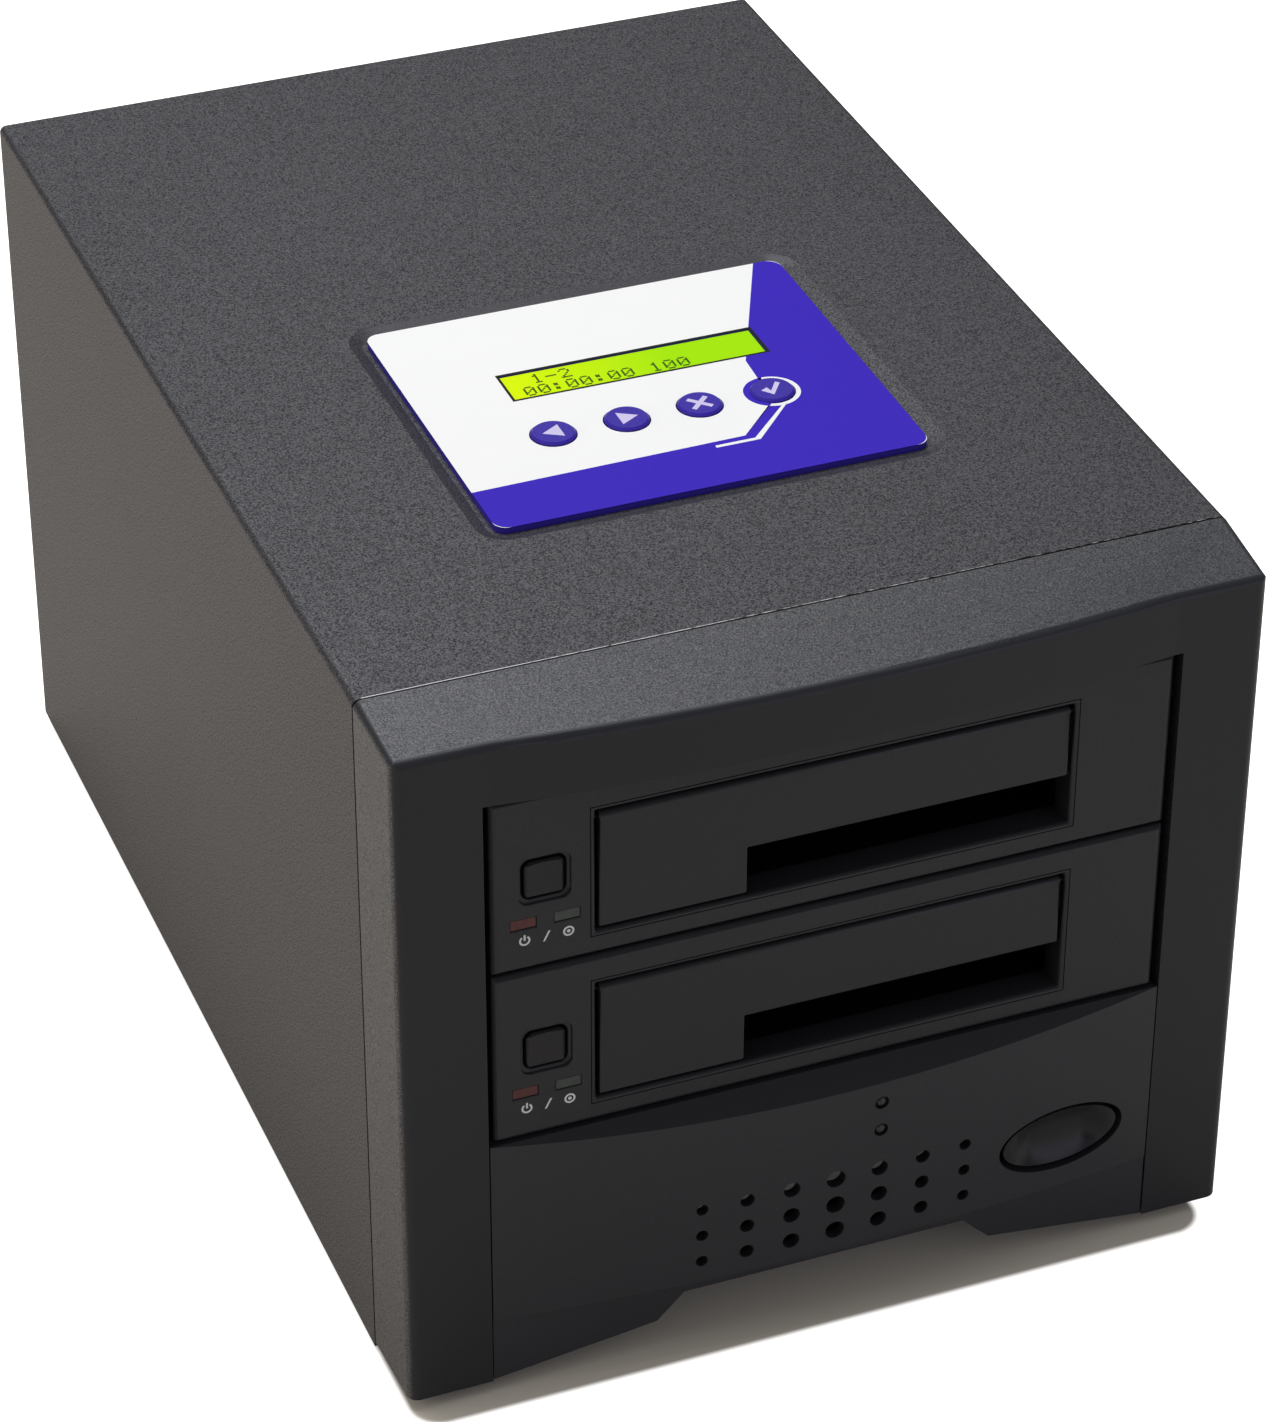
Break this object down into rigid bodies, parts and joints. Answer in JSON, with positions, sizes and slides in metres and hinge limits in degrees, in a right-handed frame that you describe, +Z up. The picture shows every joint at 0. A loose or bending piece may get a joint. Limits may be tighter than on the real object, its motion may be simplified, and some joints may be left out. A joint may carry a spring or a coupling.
{
  "type": "hard drive duplicator",
  "caption": "Desktop drive duplicator: dark steel case, bowed moulded front, stacked drive bays with inward spring doors, and a lid control panel with display and keys.",
  "frame": {"origin": "middle of the part's box, on the plane the rubber feet stand on", "axes": "+X to the right seen from the front, +Y to the back, +Z up; the front faces -Y"},
  "size_m": [0.1892, 0.2858, 0.1677],
  "materials": {
    "painted_steel": "fine textured dark grey powder paint",
    "zinc_steel": "zinc plated sheet",
    "bezel_plastic": "fine grained black ABS",
    "bay_plastic": "satin black ABS",
    "button_plastic": "satin black ABS",
    "housing_plastic": "moulded dark grey ABS",
    "black_plastic": "moulded black plastic",
    "rubber": "matt",
    "screw_steel": "plated",
    "spring_steel": "drawn wire and strip",
    "circuit_board": "solder mask",
    "lamp_clear": "diffused lens",
    "lamp_red": "tinted lens, unlit",
    "lamp_green": "tinted lens, unlit",
    "panel_plastic": "moulded white ABS",
    "panel_film": "printed film",
    "key_plastic": "moulded violet blue",
    "lcd_glass": "lit yellow green display",
    "brass": "plain"
  },
  "bodies": {
    "case": {"base_pan": "zinc_steel", "rear_panel": "painted_steel", "drive_cage": "zinc_steel", "top_cover": "painted_steel", "front_bezel": "bezel_plastic", "lower_panel": "bezel_plastic", "rubber_feet": "rubber", "case_screws": "screw_steel", "rack_screws": "screw_steel", "power_button_spring": "spring_steel", "switch_board": "circuit_board", "power_switch": "black_plastic", "power_led": "lamp_clear", "activity_led": "lamp_clear", "lower_bay_plate": "bay_plastic", "lower_bay_housing": "housing_plastic", "lower_bay_hinge_pin": "screw_steel", "lower_bay_door_spring": "spring_steel", "lower_bay_eject_spring": "spring_steel", "lower_bay_power_lamp": "lamp_red", "lower_bay_access_lamp": "lamp_green", "lower_bay_backplane": "circuit_board", "lower_bay_connector": "black_plastic", "upper_bay_plate": "bay_plastic", "upper_bay_housing": "housing_plastic", "upper_bay_hinge_pin": "screw_steel", "upper_bay_door_spring": "spring_steel", "upper_bay_eject_spring": "spring_steel", "upper_bay_power_lamp": "lamp_red", "upper_bay_access_lamp": "lamp_green", "upper_bay_backplane": "circuit_board", "upper_bay_connector": "black_plastic", "control_panel": "panel_plastic", "panel_film": "panel_film", "lcd_frame": "black_plastic", "lcd_glass": "lcd_glass", "control_board": "circuit_board", "key_switches": "black_plastic", "board_standoffs": "screw_steel", "power_supply": "zinc_steel", "mains_inlet": "black_plastic", "inlet_pins": "brass", "case_fan_frame": "black_plastic", "supply_fan_frame": "black_plastic"},
    "lower_door": {"lower_bay_door": "bay_plastic"},
    "lower_eject": {"lower_bay_eject_button": "button_plastic", "lower_bay_push_rod": "housing_plastic"},
    "lower_lever": {"lower_bay_eject_lever": "housing_plastic"},
    "upper_door": {"upper_bay_door": "bay_plastic"},
    "upper_eject": {"upper_bay_eject_button": "button_plastic", "upper_bay_push_rod": "housing_plastic"},
    "upper_lever": {"upper_bay_eject_lever": "housing_plastic"},
    "power_button": {"power_button": "button_plastic"},
    "back_key": {"back_key": "key_plastic"},
    "next_key": {"next_key": "key_plastic"},
    "cancel_key": {"cancel_key": "key_plastic"},
    "enter_key": {"enter_key": "key_plastic"},
    "case_fan": {"case_fan_rotor": "black_plastic"},
    "supply_fan": {"supply_fan_rotor": "black_plastic"}
  },
  "joints": [
    {"name": "lower_door_hinge", "type": "hinge", "parent": "case", "child": "lower_door", "pos_m": [0, -0.13665, 0.09885], "axis": [1, 0, 0], "range_deg": [0, 88], "stiffness_Nm_per_rad": 0.02, "springref_deg": -17.19, "deforming": ["lower_bay_door_spring"]},
    {"name": "lower_eject_push", "type": "slide", "parent": "case", "child": "lower_eject", "axis": [0, 1, 0], "range_m": [0, 0.006], "stiffness_N_per_m": 200, "deforming": ["lower_bay_eject_spring"]},
    {"name": "lower_lever_pivot", "type": "hinge", "parent": "case", "child": "lower_lever", "pos_m": [-0.0526, 0.01485, 0.08735], "axis": [0, 0, -1], "range_deg": [0, 38]},
    {"name": "upper_door_hinge", "type": "hinge", "parent": "case", "child": "upper_door", "pos_m": [0, -0.13665, 0.14115], "axis": [1, 0, 0], "range_deg": [0, 88], "stiffness_Nm_per_rad": 0.02, "springref_deg": -17.19, "deforming": ["upper_bay_door_spring"]},
    {"name": "upper_eject_push", "type": "slide", "parent": "case", "child": "upper_eject", "axis": [0, 1, 0], "range_m": [0, 0.006], "stiffness_N_per_m": 200, "deforming": ["upper_bay_eject_spring"]},
    {"name": "upper_lever_pivot", "type": "hinge", "parent": "case", "child": "upper_lever", "pos_m": [-0.0526, 0.01485, 0.12965], "axis": [0, 0, -1], "range_deg": [0, 38]},
    {"name": "power_push", "type": "slide", "parent": "case", "child": "power_button", "axis": [0, 1, 0], "range_m": [0, 0.0025], "stiffness_N_per_m": 400, "deforming": ["power_button_spring"]},
    {"name": "back_key_push", "type": "slide", "parent": "case", "child": "back_key", "axis": [0, 0, -1], "range_m": [0, 0.0008], "stiffness_N_per_m": 400},
    {"name": "next_key_push", "type": "slide", "parent": "case", "child": "next_key", "axis": [0, 0, -1], "range_m": [0, 0.0008], "stiffness_N_per_m": 400},
    {"name": "cancel_key_push", "type": "slide", "parent": "case", "child": "cancel_key", "axis": [0, 0, -1], "range_m": [0, 0.0008], "stiffness_N_per_m": 400},
    {"name": "enter_key_push", "type": "slide", "parent": "case", "child": "enter_key", "axis": [0, 0, -1], "range_m": [0, 0.0008], "stiffness_N_per_m": 400},
    {"name": "case_fan_spin", "type": "hinge", "parent": "case", "child": "case_fan", "pos_m": [0, 0.12695, 0.1088], "axis": [0, 1, 0], "continuous": true},
    {"name": "supply_fan_spin", "type": "hinge", "parent": "case", "child": "supply_fan", "pos_m": [0.05028, 0.12895, 0.02625], "axis": [0, 1, 0], "continuous": true}
  ],
  "couplings": [
    {"joint": "lower_lever_pivot", "follows": "lower_eject_push", "rad_per_m": 108},
    {"joint": "upper_lever_pivot", "follows": "upper_eject_push", "rad_per_m": 108}
  ]
}
